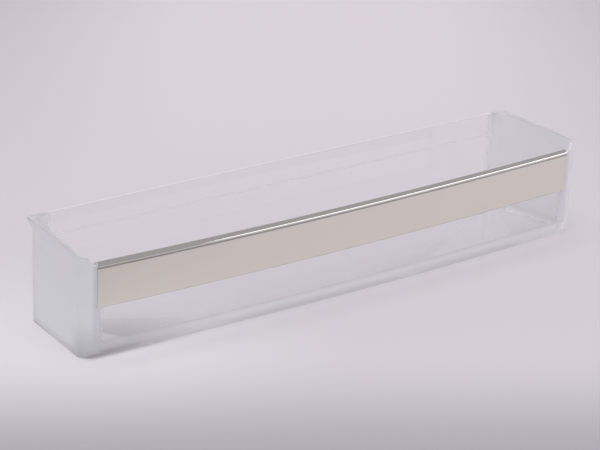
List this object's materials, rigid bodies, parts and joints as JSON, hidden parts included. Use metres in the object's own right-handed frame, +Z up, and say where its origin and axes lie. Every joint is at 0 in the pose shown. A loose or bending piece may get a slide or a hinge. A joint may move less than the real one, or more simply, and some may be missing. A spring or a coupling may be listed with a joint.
{
  "type": "fridge door shelf",
  "caption": "Long clear plastic shelf tray that hangs in a fridge door, with a bowed front and a satin metal strip rolled over its front edge.",
  "frame": {"origin": "middle of the bounding box's footprint, on the plane that the foot stands on", "axes": "+X along the shelf, to the right as seen from the front; the front with the strip looks towards -Y; +Z up"},
  "size_m": [0.4714, 0.0882, 0.0819],
  "materials": {
    "clear_plastic": "clear polystyrene, polished, with finely frosted end walls",
    "satin_metal": "satin champagne-toned metal with a polished rolled edge"
  },
  "bodies": {
    "root": {"door_tray": "clear_plastic", "front_trim": "satin_metal"}
  },
  "joints": []
}
